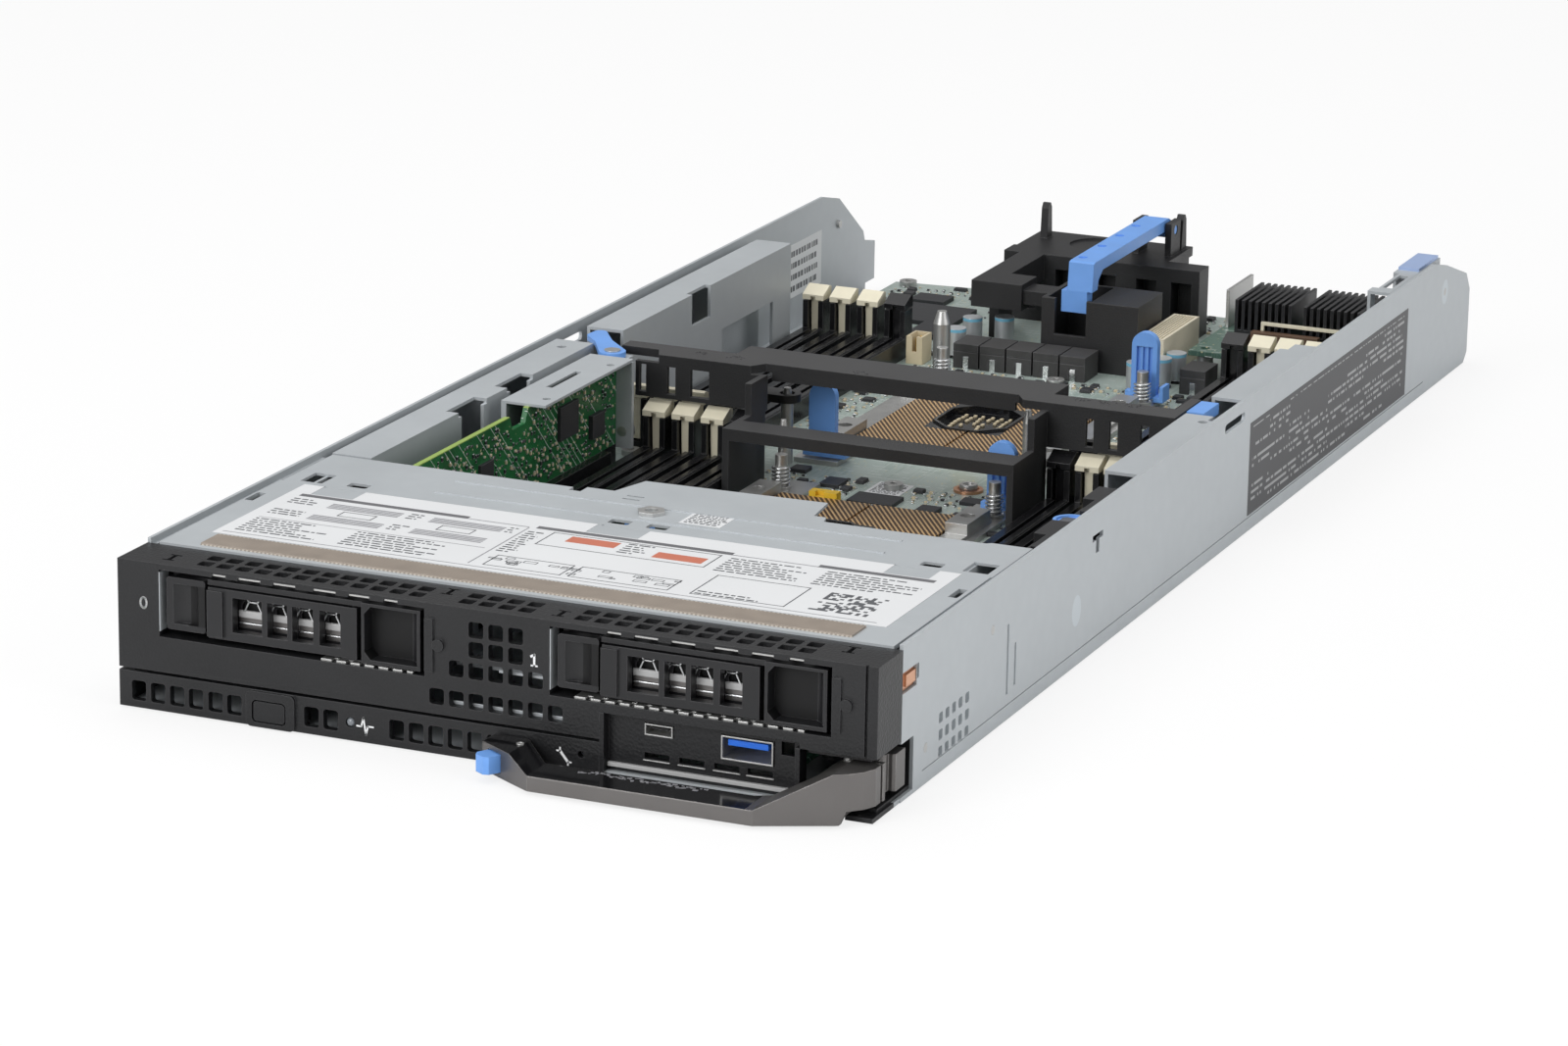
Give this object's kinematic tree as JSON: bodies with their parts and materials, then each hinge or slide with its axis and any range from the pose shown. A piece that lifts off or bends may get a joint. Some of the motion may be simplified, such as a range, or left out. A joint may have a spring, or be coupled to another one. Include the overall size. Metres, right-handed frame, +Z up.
{
  "type": "blade server sled",
  "caption": "Half-width blade server sled with hot-swap drives, an open board with processor and memory sockets, an air bridge and a swing-out front handle.",
  "frame": {"origin": "middle of the footprint at the underside of the pan", "axes": "+X to the right seen from the front, +Y to the rear, +Z up"},
  "size_m": [0.211, 0.5254, 0.0408],
  "materials": {
    "zinc_sheet": "zinc plated, satin",
    "hardware_steel": "plain",
    "black_moulding": "fine texture",
    "drive_black": "satin",
    "gunmetal": "satin metallic",
    "touch_blue": "satin",
    "latch_ivory": "satin",
    "board_laminate": "solder resist",
    "card_laminate": "solder resist",
    "contact_field": "gold on brown",
    "copper_spring": "bare",
    "gasket_foil": "metallised foil",
    "chip_epoxy": "moulded",
    "ferrite": "pressed",
    "capacitor_can": "drawn",
    "header_cream": "moulded",
    "disk_case": "cast and milled",
    "cooler_black": "black anodised"
  },
  "bodies": {
    "chassis": {"base_pan": "zinc_sheet", "left_side_plate": "zinc_sheet", "right_side_plate": "zinc_sheet", "left_guide_rails": "zinc_sheet", "right_guide_rails": "zinc_sheet", "rear_guide_bracket": "zinc_sheet", "front_bezel": "black_moulding", "lower_vent_strip": "black_moulding", "port_panel": "black_moulding", "usb_ports": "hardware_steel", "front_io_board": "board_laminate", "drive_bay_cover": "zinc_sheet", "rear_deck": "zinc_sheet", "cover_gasket": "gasket_foil", "drive_cage": "zinc_sheet", "backplane_board": "board_laminate", "contact_springs": "hardware_steel", "ground_spring": "copper_spring", "handle_bracket": "black_moulding", "handle_pivot_pin": "hardware_steel", "motherboard": "board_laminate", "cpu_sockets": "contact_field", "bolster_plates": "hardware_steel", "guide_posts": "hardware_steel", "dimm_sockets": "black_moulding", "board_chips": "chip_epoxy", "power_inductors": "ferrite", "capacitors": "capacitor_can", "board_headers": "header_cream", "pull_ring": "touch_blue", "side_card_guides": "black_moulding", "air_guide": "black_moulding", "controller_card": "card_laminate", "card_bracket": "zinc_sheet", "mezz_frame": "black_moulding", "network_card": "board_laminate", "card_heatsinks": "cooler_black", "chassis_screws": "hardware_steel"},
    "handle": {"sled_handle": "gunmetal"},
    "handle_catch": {"handle_release": "touch_blue"},
    "power_key": {"power_button": "black_moulding"},
    "mezz_lever": {"mezz_handle": "touch_blue"},
    "card_catch": {"card_latch": "touch_blue"},
    "guide_catch": {"guide_latch": "touch_blue"},
    "drive_0": {"drive_0_carrier": "drive_black", "drive_0_disk": "disk_case"},
    "drive_0_handle": {"drive_0_lever": "drive_black"},
    "drive_0_key": {"drive_0_release": "drive_black"},
    "drive_1": {"drive_1_carrier": "drive_black", "drive_1_disk": "disk_case"},
    "drive_1_handle": {"drive_1_lever": "drive_black"},
    "drive_1_key": {"drive_1_release": "drive_black"},
    "clip_front_left": {"cpu_clip_front_left": "touch_blue"},
    "clip_front_right": {"cpu_clip_front_right": "touch_blue"},
    "clip_rear_left": {"cpu_clip_rear_left": "touch_blue"},
    "clip_rear_right": {"cpu_clip_rear_right": "touch_blue"},
    "row_front_fore": {"latches_front_fore": "latch_ivory"},
    "row_front_aft": {"latches_front_aft": "latch_ivory"},
    "row_rear_fore": {"latches_rear_fore": "latch_ivory"},
    "row_rear_aft": {"latches_rear_aft": "latch_ivory"}
  },
  "joints": [
    {"name": "handle_swing", "type": "hinge", "parent": "chassis", "child": "handle", "pos_m": [0.095, -0.23725, 0.008], "axis": [0, 0, 1], "range_deg": [0, 55]},
    {"name": "handle_catch_press", "type": "slide", "parent": "handle", "child": "handle_catch", "axis": [0.5225, 0.8526, 0], "range_m": [0, 0.0025], "stiffness_N_per_m": 400},
    {"name": "power_press", "type": "slide", "parent": "chassis", "child": "power_key", "axis": [0, 1, 0], "range_m": [0, 0.0012], "stiffness_N_per_m": 300},
    {"name": "drive_0_slide", "type": "slide", "parent": "chassis", "child": "drive_0", "axis": [0, -1, 0], "range_m": [0, 0.105]},
    {"name": "drive_0_lever_swing", "type": "hinge", "parent": "drive_0", "child": "drive_0_handle", "pos_m": [-0.0383, -0.24285, 0.028], "axis": [0, 0, 1], "range_deg": [0, 50]},
    {"name": "drive_0_key_press", "type": "slide", "parent": "drive_0", "child": "drive_0_key", "axis": [0, 1, 0], "range_m": [0, 0.0012], "stiffness_N_per_m": 300},
    {"name": "drive_1_slide", "type": "slide", "parent": "chassis", "child": "drive_1", "axis": [0, -1, 0], "range_m": [0, 0.105]},
    {"name": "drive_1_lever_swing", "type": "hinge", "parent": "drive_1", "child": "drive_1_handle", "pos_m": [0.0725, -0.24285, 0.028], "axis": [0, 0, 1], "range_deg": [0, 50]},
    {"name": "drive_1_key_press", "type": "slide", "parent": "drive_1", "child": "drive_1_key", "axis": [0, 1, 0], "range_m": [0, 0.0012], "stiffness_N_per_m": 300},
    {"name": "mezz_lever_lift", "type": "hinge", "parent": "chassis", "child": "mezz_lever", "pos_m": [0.0037, 0.24125, 0.0368], "axis": [-1, 0, 0], "range_deg": [0, 75]},
    {"name": "card_catch_turn", "type": "hinge", "parent": "chassis", "child": "card_catch", "pos_m": [-0.081, 0.00175, 0.0396], "axis": [0, 0, -1], "range_deg": [0, 10]},
    {"name": "guide_catch_flex", "type": "hinge", "parent": "chassis", "child": "guide_catch", "pos_m": [0.0935, 0.02075, 0.039], "axis": [0, 1, 0], "range_deg": [0, 10], "stiffness_Nm_per_rad": 0.05},
    {"name": "clip_front_left_flex", "type": "hinge", "parent": "chassis", "child": "clip_front_left", "pos_m": [-0.0225, -0.10595, 0.0088], "axis": [1, 0, 0], "range_deg": [0, 8], "stiffness_Nm_per_rad": 0.3},
    {"name": "clip_front_right_flex", "type": "hinge", "parent": "chassis", "child": "clip_front_right", "pos_m": [0.0432, 0.00035, 0.0088], "axis": [-1, 0, 0], "range_deg": [0, 8], "stiffness_Nm_per_rad": 0.3},
    {"name": "clip_rear_left_flex", "type": "hinge", "parent": "chassis", "child": "clip_rear_left", "pos_m": [-0.0254, 0.03085, 0.0088], "axis": [1, 0, 0], "range_deg": [0, 8], "stiffness_Nm_per_rad": 0.3},
    {"name": "clip_rear_right_flex", "type": "hinge", "parent": "chassis", "child": "clip_rear_right", "pos_m": [0.0375, 0.13785, 0.0088], "axis": [-1, 0, 0], "range_deg": [0, 8], "stiffness_Nm_per_rad": 0.3},
    {"name": "row_front_fore_open", "type": "hinge", "parent": "chassis", "child": "row_front_fore", "pos_m": [0, -0.13145, 0.0105], "axis": [1, 0, 0], "range_deg": [0, 14]},
    {"name": "row_front_aft_open", "type": "hinge", "parent": "chassis", "child": "row_front_aft", "pos_m": [0, 0.00655, 0.0105], "axis": [-1, 0, 0], "range_deg": [0, 14]},
    {"name": "row_rear_fore_open", "type": "hinge", "parent": "chassis", "child": "row_rear_fore", "pos_m": [0, 0.02205, 0.0105], "axis": [1, 0, 0], "range_deg": [0, 14]},
    {"name": "row_rear_aft_open", "type": "hinge", "parent": "chassis", "child": "row_rear_aft", "pos_m": [0, 0.16005, 0.0105], "axis": [-1, 0, 0], "range_deg": [0, 14]}
  ]
}
